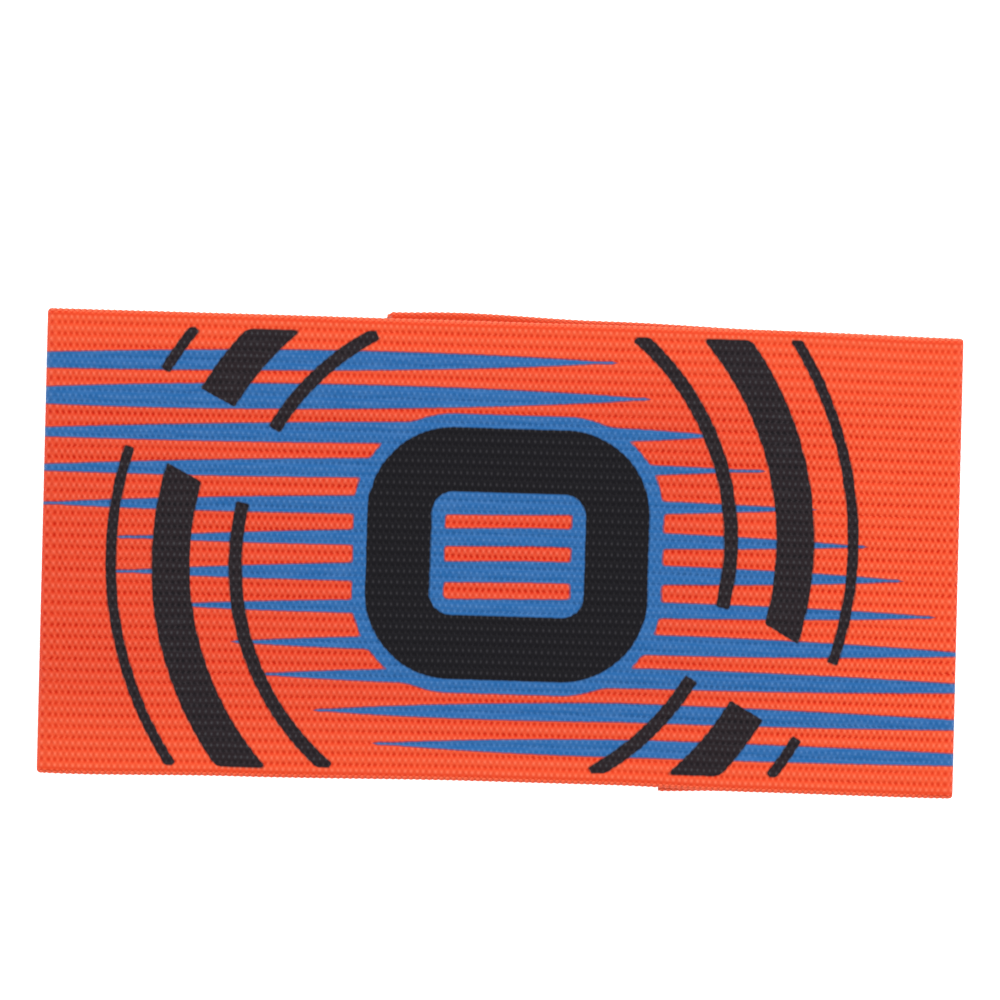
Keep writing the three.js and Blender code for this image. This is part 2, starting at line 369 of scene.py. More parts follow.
class Strip:
    """The folded strip: any place on it from the distance along it, across it and into its wall."""

    def __init__(self):
        self.span = {}
        distances, points, headings, start = [], [], [], 0.0
        for name, line in route().items():
            steps = np.linalg.norm(np.diff(line, axis=0), axis=1)
            distance = start + np.concatenate([[0.0], np.cumsum(steps)])
            slope = np.gradient(line, distance, axis=0)
            self.span[name] = (start, distance[-1])
            start = distance[-1]
            distances.append(distance[1:-1])
            points.append(line[1:-1])
            headings.append(slope[1:-1])
        self.distance = np.concatenate(distances)
        self.point = np.concatenate(points)
        self.heading = np.concatenate(headings)
        self.length = start
        rows = [(self.along(name, share), low, high) for name, share, low, high in EDGES]
        self.edge_at, self.edge_low, self.edge_high = np.array(rows).T

    def along(self, name, share):
        first, last = self.span[name]
        return first + share * (last - first)

    def at(self, name, x):
        """How far along the strip a level stretch passes x."""
        first, last = self.span[name]
        inside = (self.distance > first) & (self.distance < last)
        order = np.argsort(self.point[inside, 0])
        return np.interp(x, self.point[inside, 0][order], self.distance[inside][order])

    def centre(self, distance):
        """Place and heading on the centreline, with the straight ends carried on."""
        place = self.read(self.point, distance)
        heading = unit(self.read(self.heading, distance))
        before = np.minimum(distance - self.distance[0], 0)
        beyond = np.maximum(distance - self.distance[-1], 0)
        return place + heading * (before + beyond)[:, None], heading

    def read(self, columns, distance):
        """The route's own columns of numbers, read between its points."""
        return np.column_stack([np.interp(distance, self.distance, column) for column in columns.T])

    def edges(self, distance):
        """The strip's lower and upper edge, in Y."""
        row = np.clip(np.searchsorted(self.edge_at, distance), 1, len(self.edge_at) - 1)
        span = self.edge_at[row] - self.edge_at[row - 1]
        share = np.clip((distance - self.edge_at[row - 1]) / span, 0, 1)
        share = share * share * (3 - 2 * share)
        return [
            (edge[row - 1] + (edge[row] - edge[row - 1]) * share) * BAND_WIDTH
            for edge in (self.edge_low, self.edge_high)
        ]

    def place(self, distance, across, depth):
        """Points at a distance along, a place across and a depth from the middle of the wall.
        Depth is negative towards the printed face and positive towards the arm."""
        distance, across, depth = np.broadcast_arrays(distance, across, depth)
        centre, heading = self.centre(distance.ravel())
        across, depth = across.ravel(), depth.ravel()
        x = centre[:, 0] - heading[:, 1] * depth - FOLD_LEAN * across
        z = centre[:, 1] + heading[:, 0] * depth
        return np.column_stack([x, across, z])

    def print_place(self, distance, x):
        """Places along the print: as seen from above on the front, and carried on past the folds."""
        right = self.along("right_fold", 0.5)
        left = self.along("left_fold", 0.5)
        half = FOLDED_LENGTH / 2
        past_right = half + (right - distance)
        past_left = -half - (distance - left)
        return np.where(distance < right, past_right, np.where(distance > left, past_left, x))


# Meshes from arrays

def new_object(name, data):
    made = bpy.data.objects.new(name, data)
    bpy.context.collection.objects.link(made)
    return made


def make_piece(name, vertices, faces, material):
    mesh = bpy.data.meshes.new(name)
    mesh.from_pydata((np.asarray(vertices) * MM).tolist(), [], faces)
    mesh.polygons.foreach_set("use_smooth", [True] * len(mesh.polygons))
    mesh.materials.append(material)
    mesh.update()
    piece = new_object(name, mesh)
    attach(piece, BODY)
    return piece


def add_uv(piece, name, values):
    layer = piece.data.uv_layers.new(name=name)
    corner = np.empty(len(piece.data.loops), dtype=np.int32)
    piece.data.loops.foreach_get("vertex_index", corner)
    layer.data.foreach_set("uv", np.asarray(values)[corner].astype(np.float32).ravel())


def add_value(piece, name, values):
    attribute = piece.data.attributes.new(name, "FLOAT", "POINT")
    attribute.data.foreach_set("value", np.asarray(values, dtype=np.float32))


def ring_faces(rows, columns):
    """Quads of a closed tube of rows by columns, outward where the columns run
    counter-clockwise seen from its far end."""
    row, column = np.meshgrid(np.arange(rows - 1), np.arange(columns), indexing="ij")
    row, column = row.ravel(), column.ravel()
    beside = (column + 1) % columns
    near, far = row * columns, (row + 1) * columns
    return np.column_stack([near + column, near + beside, far + beside, far + column])


def tube(path, side, up, radius_side, radius_up, sides):
    """A closed tube along a path, with an elliptical section in the directions side and up."""
    angle = np.linspace(0, 2 * math.pi, sides, endpoint=False)
    ring = (
        path[:, None, :]
        + side[:, None, :] * (radius_side[:, None] * np.cos(angle))[:, :, None]
        + up[:, None, :] * (radius_up[:, None] * np.sin(angle))[:, :, None]
    )
    vertices = ring.reshape(-1, 3)
    faces = ring_faces(len(path), sides).tolist()
    last = (len(path) - 1) * sides
    faces.append(list(range(sides))[::-1])
    faces.append([last + k for k in range(sides)])
    return vertices, faces


class Joined:
    """Many small tubes gathered into one mesh."""

    def __init__(self):
        self.vertices, self.faces, self.count = [], [], 0

    def add(self, vertices, faces):
        self.vertices.append(vertices)
        self.faces += [[self.count + k for k in face] for face in faces]
        self.count += len(vertices)

    def build(self, name, material):
        return make_piece(name, np.concatenate(self.vertices), self.faces, material)


# Shader graphs

class Field:
    """A number that varies over a surface, worked out by math nodes."""

    def __init__(self, graph, socket):
        self.graph = graph
        self.socket = socket

    def math(self, operation, *others):
        return self.graph.math(operation, self, *others)

    def __add__(self, other):
        return self.math("ADD", other)

    def __sub__(self, other):
        return self.math("SUBTRACT", other)

    def __rsub__(self, other):
        return self.graph.math("SUBTRACT", other, self)

    def __mul__(self, other):
        return self.math("MULTIPLY", other)

    def __abs__(self):
        return self.math("ABSOLUTE")

    def power(self, exponent):
        return self.math("POWER", exponent)

    def least(self, other):
        return self.math("MINIMUM", other)

    def most(self, other):
        return self.math("MAXIMUM", other)

    def soft_least(self, other, reach):
        return self.math("SMOOTH_MIN", other, reach)

    def hypotenuse(self, other):
        return (self * self + other * other).math("SQRT")

    def rounded_most(self, other, radius):
        """The larger of two distances, with the corner where they cross rounded."""
        corner = (self + radius).most(0.0).hypotenuse((other + radius).most(0.0))
        return self.most(other).least(-radius) + corner

    def wave(self):
        """From 1 to 0 and back over each whole step of this."""
        return (self * (2 * math.pi)).math("COSINE") * 0.5 + 0.5

    def ramp(self, low, high, at_low=0.0, at_high=1.0):
        """From at_low to at_high as this goes from low to high, and level beyond."""
        return self.graph.ramp(self, low, high, at_low, at_high)


class Graph:
    """A material's node tree."""

    def __init__(self, name, roughness, sheen=0.0, specular=0.1):
        self.material = bpy.data.materials.new(name)
        self.material.use_nodes = True
        self.tree = self.material.node_tree
        self.shader = self.tree.nodes["Principled BSDF"]
        self.shader.inputs["Roughness"].default_value = roughness
        self.shader.inputs["Sheen Weight"].default_value = sheen
        self.shader.inputs["Specular IOR Level"].default_value = specular

    def node(self, kind, **settings):
        node = self.tree.nodes.new(kind)
        for key, value in settings.items():
            setattr(node, key, value)
        return node

    def feed(self, socket, value):
        if isinstance(value, Field):
            self.tree.links.new(value.socket, socket)
        elif isinstance(value, bpy.types.NodeSocket):
            self.tree.links.new(value, socket)
        else:
            socket.default_value = value

    def math(self, operation, *values):
        node = self.node("ShaderNodeMath", operation=operation)
        for socket, value in zip(node.inputs, values):
            self.feed(socket, value)
        return Field(self, node.outputs[0])

    def ramp(self, value, low, high, at_low, at_high):
        node = self.node("ShaderNodeMapRange")
        for socket, number in zip(node.inputs, (value, low, high, at_low, at_high)):
            self.feed(socket, number)
        return Field(self, node.outputs[0])

    def x_and_y(self, vector):
        split = self.node("ShaderNodeSeparateXYZ")
        self.feed(split.inputs[0], vector)
        return Field(self, split.outputs[0]), Field(self, split.outputs[1])

    def uv(self, name):
        return self.x_and_y(self.node("ShaderNodeUVMap", uv_map=name).outputs[0])

    def value(self, name):
        return Field(self, self.node("ShaderNodeAttribute", attribute_name=name).outputs["Fac"])

    def vector(self, x, y):
        node = self.node("ShaderNodeCombineXYZ")
        for socket, number in zip(node.inputs, (x, y)):
            self.feed(socket, number)
        return node.outputs[0]

    def place(self):
        """The place on the piece, in metres."""
        return self.node("ShaderNodeTexCoord").outputs["Object"]

    def noise(self, vector, scale, detail=2.0):
        """Smooth noise around zero, from about -0.5 to 0.5."""
        node = self.node("ShaderNodeTexNoise")
        self.feed(node.inputs["Vector"], vector)
        node.inputs["Scale"].default_value = scale
        node.inputs["Detail"].default_value = detail
        return Field(self, node.outputs["Fac"]) - 0.5

    def mix(self, share, first, second, blend="MIX"):
        node = self.node("ShaderNodeMix", data_type="RGBA", blend_type=blend)
        self.feed(node.inputs[0], share)
        for socket, colour in ((node.inputs[6], first), (node.inputs[7], second)):
            self.feed(socket, colour if isinstance(colour, bpy.types.NodeSocket) else (*colour, 1.0))
        return node.outputs[2]

    def colour(self, value):
        self.feed(self.shader.inputs["Base Color"], value)

    def bump(self, height, distance):
        node = self.node("ShaderNodeBump")
        node.inputs["Distance"].default_value = distance * MM
        self.feed(node.inputs["Height"], height)
        self.tree.links.new(node.outputs[0], self.shader.inputs["Normal"])


# The print's shapes, as distances from their edges: negative inside

def streak_distance(x, y, row):
    left_x, left_y = row["left"]
    widest_x, widest_y = row["widest"]
    right_x, right_y = row["right"]
    left_blunt, right_blunt = row["blunt"]
    from_left = x.ramp(left_x, widest_x)
    from_right = x.ramp(widest_x, right_x, 1.0, 0.0)
    left_swell = (from_left * (math.pi / 2)).math("SINE").power(left_blunt)
    right_swell = (from_right * (math.pi / 2)).math("SINE").power(right_blunt)
    swell = left_swell * right_swell * (row["width"] / 2 + INK_EDGE)
    tip = (x - left_x).least(right_x - x).ramp(0.0, TIP_LENGTH, 0.0, TIP_WIDTH / 2 + INK_EDGE)
    left_slope = from_left * (widest_y - left_y)
    right_slope = from_right * (widest_y - right_y)
    middle = left_slope + right_slope + (left_y + right_y - widest_y)
    return abs(y - middle) - swell.most(tip) + INK_EDGE


def past_level(y, low, high):
    """How far beyond two level cuts a place is."""
    return abs(y - (low + high) / 2) - (high - low) / 2


def past_cut(x, y, row, level, sign):
    """How far beyond a cut across an arc's stroke, at a level of its centreline, a place is."""
    centre_x, centre_y = row["centre"]
    rise = (level - centre_y) / row["radius"]
    reach = row["side"] * math.sqrt(1 - rise * rise)
    along_x, along_y = -sign * rise * row["side"], sign * abs(reach)
    cut_x = centre_x + row["radius"] * reach
    return x * along_x + (y * along_y - (cut_x * along_x + level * along_y))


def arc_distance(x, y, row):
    centre_x, centre_y = row["centre"]
    reach = (x - centre_x).hypotenuse(y - centre_y)
    stroke = abs(reach - row["radius"]) - row["width"] / 2
    lowest, highest = row["reach"]
    gap_low, gap_high = row["gap"]
    ends = past_level(y, lowest, highest)
    if row["trim"]:
        end_corner = ARC_CORNER
        gap = past_cut(x, y, row, gap_low, 1).least(past_cut(x, y, row, gap_high, -1))
        bottom = past_cut(x, y, row, lowest + row["trim"][0], -1)
        top = past_cut(x, y, row, highest - row["trim"][1], 1)
        ends = ends.most(top).most(bottom)
    else:
        end_corner = THICK_END_CORNER
        gap = 0.0 - past_level(y - (x - row["at"]) * row["slant"], gap_low, gap_high)
    return stroke.rounded_most(gap, ARC_CORNER).rounded_most(ends, end_corner)


def box_distance(x, y, row):
    """Distance to the edge of a rounded box."""
    centre_x, centre_y = row["centre"]
    half_x, half_y = row["half"]
    over_x = abs(x - centre_x) - (half_x - row["corner"])
    over_y = abs(y - centre_y) - (half_y - row["corner"])
    outside = over_x.most(0.0).hypotenuse(over_y.most(0.0))
    inside = over_x.most(over_y).least(0.0)
    return outside + inside - row["corner"]


def ink_masks(graph, stitch):
    """How much blue, ring black and arc black ink covers each place, from 0 to 1."""
    x, y = graph.uv("print")
    spot = graph.vector(x, y)
    slow, quick, across = [
        graph.noise(spot, grain) * reach
        for grain, reach in (SLOW_WANDER, QUICK_WANDER, ACROSS_WANDER)
    ]
    tooth = (stitch * (2 * math.pi)).math("COSINE") * STITCH_TOOTH
    x = x + (slow + quick) + tooth
    y = y + across
    printed = graph.value("printed_side")

    streaks = streak_distance(x, y, STREAKS[0])
    for row in STREAKS[1:]:
        streaks = streaks.least(streak_distance(x, y, row))
    ring = abs(box_distance(x, y, RING) + RING_STROKE / 2) - RING_STROKE / 2
    blue = streaks.soft_least(ring - RING_OUTLINE, INK_FILLET)

    sides = {}
    for row in ARCS:
        side = row["side"]
        stroke = arc_distance(x, y, row)
        sides[side] = sides[side].least(stroke) if side in sides else stroke
    arcs = sides[-1].most(x - ARCS_PART_AT).least(sides[1].most(ARCS_PART_AT - x))
    return [shape.ramp(INK_EDGE, -INK_EDGE) * printed for shape in (blue, ring, arcs)]


# Materials

class Knit:
    """The knit's repeat: pits between the ribs and slits along their tops, darkened with painted
    shade, and raised yarn.
    """

    def __init__(self, graph):
        self.graph = graph
        self.stitch, rib = graph.uv("weave")
        along = self.along(rib)
        between = 1.0 - along
        valley = rib.wave()
        crest = 1.0 - valley
        edge = rib.least(RIB_COUNT - rib)
        depth = self.noise("depth", rib) + MARK_DEPTH
        openness = edge.ramp(0.0, CLOSED_RIBS, DEPTH_AT_EDGE, 1.0)
        # Pits lie between ribs, so they are counted half a rib on
        pit_depth = (depth + self.noise("depth_by_rib", (rib + 0.5).math("FLOOR"))) * openness
        slit_depth = (depth + self.noise("depth_by_rib", rib.math("FLOOR"))) * openness
        start, darkest, end = GROOVE_SHADE_SPAN
        self.crest = crest
        self.marks = {
            "pit": self.mark("pit", along, valley) * pit_depth,
            "slit": self.mark("slit", between, crest) * slit_depth,
            "crest_dot": self.mark("dot", along, crest),
            "valley_dot": self.mark("dot", between, valley),
            "groove_shade": edge.ramp(start, darkest) * edge.ramp(darkest, end, 1.0, 0.0),
            "float": self.noise("float", rib),
            "fuzz": self.noise("fuzz", rib),
        }

    def noise(self, name, rib):
        """One of the knit's noises, centred on zero."""
        to_stitch, to_rib, strength = KNIT_NOISE[name]
        spot = self.graph.vector(self.stitch * to_stitch, rib * to_rib)
        return self.graph.noise(spot, 1.0) * strength

    def along(self, rib):
        """From 0 to 1 and back over each stitch, a little uneven and not in step from rib to rib."""
        uneven = self.noise("drift_by_rib", rib.math("FLOOR")) + self.noise("jitter", rib)
        return (self.stitch + uneven).wave()

    def mark(self, kind, along, across):
        sharp_along, sharp_across = SHARPNESS[kind]
        return along.power(sharp_along) * across.power(sharp_across)

    def show(self, where, *names):
        """The named marks together, each as strong as it shows there."""
        shown = [self.marks[name] * MARKS[where][name] for name in names]
        return sum(shown[1:], shown[0])


def painted_middle_shade(graph):
    """How much painted shade darkens the orange at each place, from 0 to 1."""
    x, y = graph.uv("print")
    by_height = abs(y).ramp(MIDDLE_SHADE_FULL_TO_Y, MIDDLE_SHADE_GONE_BY_Y, 1.0, 0.0)
    return by_height * x.ramp(MIDDLE_SHADE_FULL_TO_X, MIDDLE_SHADE_GONE_BY_X, 1.0, 0.0)


def cloth_colour(graph, knit):
    # Painted shade in the valleys between the ribs, lighter on their crests
    cloth = graph.mix(knit.crest, ORANGE_VALLEY_SHADED, ORANGE_CREST_LIT)
    # Painted shade in the groove beside each edge cord
    cloth = graph.mix(knit.show("cloth", "groove_shade"), cloth, ORANGE_GROOVE_SHADE)
    # Painted highlights on the raised yarn dots
    cloth = graph.mix(knit.show("cloth", "crest_dot", "valley_dot"), cloth, ORANGE_HIGHLIGHT)
    # Painted shade in the slits and pits
    cloth = graph.mix(knit.show("cloth", "slit"), cloth, ORANGE_SLIT_SHADE)
    cloth = graph.mix(knit.show("cloth", "pit"), cloth, ORANGE_PIT_SHADE)
    # Painted shade darkens the orange over the middle of the front
    return graph.mix(painted_middle_shade(graph), cloth, MIDDLE_SHADE_TINT, "MULTIPLY")


def ink_colour(graph, knit, name, ink, yarn, pit, lift=0.0):
    """An ink over the knit: painted highlights on its raised yarn dots, lighter where yarn floats
    through it, and painted shade in the pits and slits.
    """
    floats = (knit.show(name, "float") + lift).most(0.0)
    # Painted highlights on the raised yarn dots, and lighter yarn where it floats through the ink
    highlights_and_floats = knit.show(name, "crest_dot", "valley_dot") + floats
    # Painted shade in the pits and slits, over the ink and its painted highlights
    return graph.mix(knit.show(name, "pit", "slit"), graph.mix(highlights_and_floats, ink, yarn), pit)


def elastic_material():
    graph = Graph("printed_elastic", CLOTH_ROUGHNESS, sheen=CLOTH_SHEEN)
    knit = Knit(graph)
    blue_mask, ring_mask, arc_mask = ink_masks(graph, knit.stitch)
    ink = blue_mask.most(ring_mask).most(arc_mask)
    rim = blue_mask * (1.0 - blue_mask) * (4.0 * EDGE_SHADE)
    blue = ink_colour(graph, knit, "blue", BLUE, BLUE_YARN_AND_HIGHLIGHT, BLUE_PIT_SHADE, BLUE_FLOAT_LIFT)
    arcs = ink_colour(graph, knit, "arcs", ARC_BLACK, BLACK_YARN_AND_HIGHLIGHT, BLACK_PIT_SHADE)
    ring = ink_colour(graph, knit, "ring", BLACK, BLACK_YARN_AND_HIGHLIGHT, BLACK_PIT_SHADE)
    colour = graph.mix(blue_mask, cloth_colour(graph, knit), blue)
    colour = graph.mix(rim, colour, INK_SHADE)
    colour = graph.mix(arc_mask, colour, arcs)
    colour = graph.mix(ring_mask, colour, ring)
    sealed = knit.stitch.ramp(*SEALED_STITCHES)
    graph.colour(graph.mix(sealed * SEALED_SHARE, colour, SEALED_END))
    graph.feed(graph.shader.inputs["Roughness"], CLOTH_ROUGHNESS - ink * INK_SMOOTHING)
    graph.shader.inputs["Sheen Roughness"].default_value = 0.5
    graph.bump(knit.show("height", "crest_dot", "valley_dot", "pit", "slit", "fuzz"), distance=0.12)
    return graph.material


def edge_yarn_material():
    """The beaded cord along each edge: slanted yarn, with painted shade along its slant and at the
    necks between its beads.
    """
    graph = Graph("selvage_yarn", roughness=0.8, sheen=CLOTH_SHEEN)
    stitch, around = graph.uv("weave")
    slant = (stitch + around * 0.5).wave()
    uneven = graph.noise(graph.vector(stitch, around), 0.6)
    # Painted shade along the yarn's slant, with uneven tone from the noise
    shade = slant.power(1.5) * CORD_SHADE["slant"] + uneven * CORD_SHADE["uneven"]
    dark = (shade + CORD_SHADE["all"]).most(0.0)
    neck_shade = 1.0 - stitch.wave()
    yarn = graph.mix(dark, EDGE_YARN_LIGHT, EDGE_YARN_DARK)
    # Painted shade at the necks between the beads
    graph.colour(graph.mix(neck_shade.power(3.0) * NECK_SHADE_SHARE, yarn, EDGE_YARN_NECK_SHADE))
    graph.bump(slant, distance=0.05)
    return graph.material


def thread_material(name, colour):
    """Twisted yarn: fine slanted plies along it."""
    graph = Graph(name, roughness=0.7, sheen=0.05, specular=0.2)
    plies = graph.node("ShaderNodeTexWave", wave_type="BANDS", bands_direction="DIAGONAL")
    graph.feed(plies.inputs["Vector"], graph.place())
    plies.inputs["Scale"].default_value = PLIES_SCALE
    plies.inputs["Distortion"].default_value = 1.5
    ply = Field(graph, plies.outputs["Fac"])
    dark = tuple(0.6 * c for c in colour)
    graph.colour(graph.mix(ply, dark, colour))
    graph.bump(ply, distance=0.04)
    return graph.material


def tape_material():
    """Woven base, hooks and loops of the closure tape."""
    graph = Graph("closure_tape_weave", roughness=0.85, sheen=0.1, specular=0.2)
    place = graph.place()
    x, y = graph.x_and_y(place)
    turn_x, turn_y = (2 * math.pi / (pitch * MM) for pitch in TAPE_WEAVE)
    weave = (x * turn_x).math("SINE") * (y * turn_y).math("SINE") * 0.5 + 0.5
    speckle = graph.noise(place, SPECKLE_SCALE)
    light = weave * TAPE_LIFT["weave"] + speckle * TAPE_LIFT["speckle"] + TAPE_LIFT["all"]
    graph.colour(graph.mix(light, TAPE_DARK, TAPE_LIGHT))
    graph.bump(weave, distance=0.06)
    return graph.material


def floor_material():
    graph = Graph("pale_floor", roughness=0.9)
    grain = graph.noise(graph.place(), FLOOR_GRAIN_SCALE, detail=4.0)
    graph.colour(graph.mix(grain + 0.5, FLOOR_DARK, FLOOR_LIGHT))
    graph.shader.inputs["Emission Color"].default_value = (1.0, 1.0, 1.0, 1.0)
    graph.shader.inputs["Emission Strength"].default_value = FLOOR_GLOW
    return graph.material


# The pieces

# The spacing of the band's rows of points on each stretch
ROW_SPACING = {
    "lower_tail": 4.5,
    "right_fold": 0.45,
    "front": 2.6,
    "left_fold": 0.45,
    "left_back": 4.5,
    "ramp": 1.7,
    "upper_tail": 4.5,
    "hem_fold": 0.3,
    "hem": 3.0,
}
# Where its points stand across a rib, how round the rib is, and where rows stand beside a seam
RIB_PHASES = (0.0, 0.1, 0.28, 0.5, 0.72, 0.9)
RIB_ROUNDNESS = 0.65
ROWS_BY_SEAM = (-1.1, -0.5, 0.0, 0.5, 1.1)
# How far from its cut end the lower tail is cut off at the corner
CUT_CORNER = 0.9
# A stitch's points and sides, how deep its ends dip, and how much thinner they are
STITCH_POINTS, STITCH_SIDES = 7, 6
STITCH_DIP = 0.30
STITCH_THINNING = 0.35
# The yarn ends at the cuts: how many to a rib, their points, sides and thickness, how far they
# keep from the band's edges and start inside it, and the ranges of their places and lengths
FRAY_PER_RIB = 5
FRAY_POINTS, FRAY_SIDES = 4, 4
FRAY_RADIUS = 0.12
FRAY_EDGE, FRAY_ROOT = 0.5, 0.15
FRAY_DEPTH, FRAY_BEND = 0.5, 0.2
FRAY_LENGTH = (0.12, 0.42)
# The closure tape: the thickness of its two bases and how soft their edges are, how far the
# upper base and the core between them are set in, and how far the core reaches into the bases
BASE_THICKNESS = 0.55
BASE_BEVEL, CORE_BEVEL = 0.14, 0.05
UPPER_BASE_INSET, CORE_INSET = 0.15, 1.7
CORE_OVERLAP = 0.1
TIGHTEST_CORNER = 0.6
# Rows of hooks and loops around the core, how far apart they stand, and how the rows are staggered
HOOK_ROWS = (0.45, 0.95, 1.4)
HOOK_PITCH = 0.8
ROW_STAGGER = 0.3
# A hook and a loop: their heights are drawn from a range of shares of the room between the bases,
# and "turn" is how far round they bend
HOOK = {"reach": 0.22, "radius": 0.085, "height": (0.6, 0.75), "turn": 1.1 * math.pi, "points": 5}
LOOP = {"reach": 0.28, "radius": 0.06, "height": (0.5, 0.8), "turn": math.pi, "points": 6}
ROOT_DEPTH = 0.05
LOOP_BESIDE_HOOK = 0.25
UP = np.array([0.0, 0.0, 1.0])


def seam_segments(strip):
    """Each seam as its face and its two ends, given along and across the strip."""
    segments = []
    for name, face, (x0, y0), (x1, y1) in SEAMS:
        ends = [(strip.at(name, x + FOLD_LEAN * y), y) for x, y in ((x0, y0), (x1, y1))]
        segments.append((face, np.array(ends[0]), np.array(ends[1])))
    return segments


def pinch(segments, face, distance, across):
    """How far the stitches pull the face in at each place."""
    depth = np.zeros(np.broadcast(distance, across).shape)
    for seam_face, start, end in segments:
        if seam_face != face:
            continue
        run = end - start
        share = ((distance - start[0]) * run[0] + (across - start[1]) * run[1]) / np.dot(run, run)
        share = np.clip(share, 0, 1)
        away = np.hypot(distance - start[0] - share * run[0], across - start[1] - share * run[1])
        depth = np.maximum(depth, PINCH_DEPTH * np.exp(-((away / PINCH_REACH) ** 2)))
    return depth


def rib_profile():
    """Places across the strip in ribs, and how high the knit stands there, from 0 to 1."""
    phases = (np.arange(RIB_COUNT)[:, None] + RIB_PHASES).ravel()
    phases = np.append(phases, RIB_COUNT)
    height = np.abs(np.sin(math.pi * phases)) ** RIB_ROUNDNESS
    return phases, height


def row_distances(strip, segments):
    rows = [np.array([0.0, CUT_CORNER / 2, CUT_CORNER])]
    for name, spacing in ROW_SPACING.items():
        first, last = strip.span[name]
        steps = math.ceil((last - first) / spacing)
        rows.append(np.linspace(first, last, steps + 1)[1:])
    for _, start, end in segments:
        if abs(start[1] - end[1]) > BAND_WIDTH / 2:
            rows.append((start[0] + end[0]) / 2 + np.array(ROWS_BY_SEAM))
    rows = np.unique(np.round(np.concatenate(rows), 2))
    rows[-1] = strip.length
    return rows


def fold_flatness(strip, distance):
    """How much each row belongs to a fold, from 0 far from it to 1 in it."""
    flat = np.zeros(len(distance))
    for name in ("right_fold", "left_fold", "hem_fold"):
        first, last = strip.span[name]
        off = np.maximum(np.maximum(first - distance, distance - last), 0)
        flat = np.maximum(flat, np.exp(-((off / FOLD_REACH) ** 2)))
    return flat


def cut_ends(rows, columns):
    """Quads over the two cut ends, from each point of the printed face to the one opposite it."""
    faces = []
    last = (rows - 1) * columns
    for column in range(columns // 2 - 1):
        opposite = columns - 1 - column
        faces.append([opposite, opposite - 1, column + 1, column])
        faces.append([last + column, last + column + 1, last + opposite - 1, last + opposite])
    return faces


def elastic_band(strip, segments, material):
    ribs, height = rib_profile()
    distance = row_distances(strip, segments)
    low, high = strip.edges(distance)
    low, high = low + SELVAGE_HALF_WIDTH, high - SELVAGE_HALF_WIDTH
    across = low[:, None] + (high - low)[:, None] * (ribs / RIB_COUNT)
    rib_depth = RIB_DEPTH * (1 - FOLD_FLATTENING * fold_flatness(strip, distance))
    surface = WALL / 2 - rib_depth[:, None] * (1 - height)
    printed = surface - pinch(segments, -1, distance[:, None], across)
    inner = surface - pinch(segments, 1, distance[:, None], across)
    across = np.concatenate([across, across[:, ::-1]], axis=1)
    depth = np.concatenate([-printed, inner[:, ::-1]], axis=1)
    rows, columns = across.shape
    vertices = strip.place(distance[:, None], across, depth)
    faces = ring_faces(rows, columns).tolist() + cut_ends(rows, columns)
    band = make_piece("printed_elastic_band", vertices, faces, material)
    along = np.repeat(distance, columns)
    rib = np.tile(np.concatenate([ribs, ribs[::-1]]), rows)
    print_x = strip.print_place(along, vertices[:, 0])
    add_uv(band, "print", np.column_stack([print_x, vertices[:, 1]]))
    add_uv(band, "weave", np.column_stack([along / STITCH_PITCH, rib]))
    add_value(band, "printed_side", (depth < 0).ravel())
    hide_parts("elastic_band")
    return band


def selvage(strip, name, edge, material):
    """The beaded cord of edge yarn, one bead to a stitch, that runs along one edge of the strip."""
    rows = int(strip.length / STITCH_PITCH * SELVAGE_ROWS_PER_STITCH)
    distance = np.linspace(0.0, strip.length, rows)
    inward = SELVAGE_HALF_WIDTH if edge == 0 else -SELVAGE_HALF_WIDTH
    across = strip.edges(distance)[edge] + inward
    path = strip.place(distance, across, 0.0)
    up = strip.place(distance, across, 1.0) - path
    side = np.tile([0.0, 1.0, 0.0], (rows, 1))
    bead = 1 - SELVAGE_BEAD * (0.5 - 0.5 * np.cos(2 * math.pi * distance / STITCH_PITCH))
    width = (SELVAGE_HALF_WIDTH + SELVAGE_OVERLAP) * bead
    height = (WALL / 2 - SELVAGE_DROP) * (0.5 + 0.5 * bead)
    vertices, faces = tube(path, side, up, width, height, SELVAGE_SIDES)
    cord = make_piece(name, vertices, faces, material)
    stitch = np.repeat(distance / STITCH_PITCH, SELVAGE_SIDES)
    around = np.tile(np.abs(np.linspace(-1, 1, SELVAGE_SIDES, endpoint=False)), rows)
    add_uv(cord, "weave", np.column_stack([stitch, around]))
    return cord


def stitching(strip, name, segments, chosen, material):
    """Lock stitches along the chosen seams, each dipping into the cloth at its two ends."""
    joined = Joined()
    from_middle = np.abs(np.linspace(-1, 1, STITCH_POINTS))
    dip = STITCH_DIP * from_middle**4
    radius = THREAD_RADIUS * (1 - STITCH_THINNING * from_middle**6)
    for index in chosen:
        face, start, end = segments[index]
        depth = face * (WALL / 2 - THREAD_RADIUS - dip)
        run = np.linalg.norm(end - start)
        count = int(run / (STITCH_LENGTH + STITCH_GAP))
        pitch = run / count
        for k in range(count):
            first = (k * pitch + STITCH_GAP / 2) / run
            last = ((k + 1) * pitch - STITCH_GAP / 2) / run
            share = np.linspace(first, last, STITCH_POINTS)[:, None]
            distance, across = (start + (end - start) * share).T
            path = strip.place(distance, across, depth)
            out = strip.place(distance, across, depth + face) - path
            heading = unit(np.gradient(path, axis=0))
            side = np.cross(out, heading)
            up = np.cross(heading, side)
            joined.add(*tube(path, side, up, radius, radius, STITCH_SIDES))
    return joined.build(name, material)


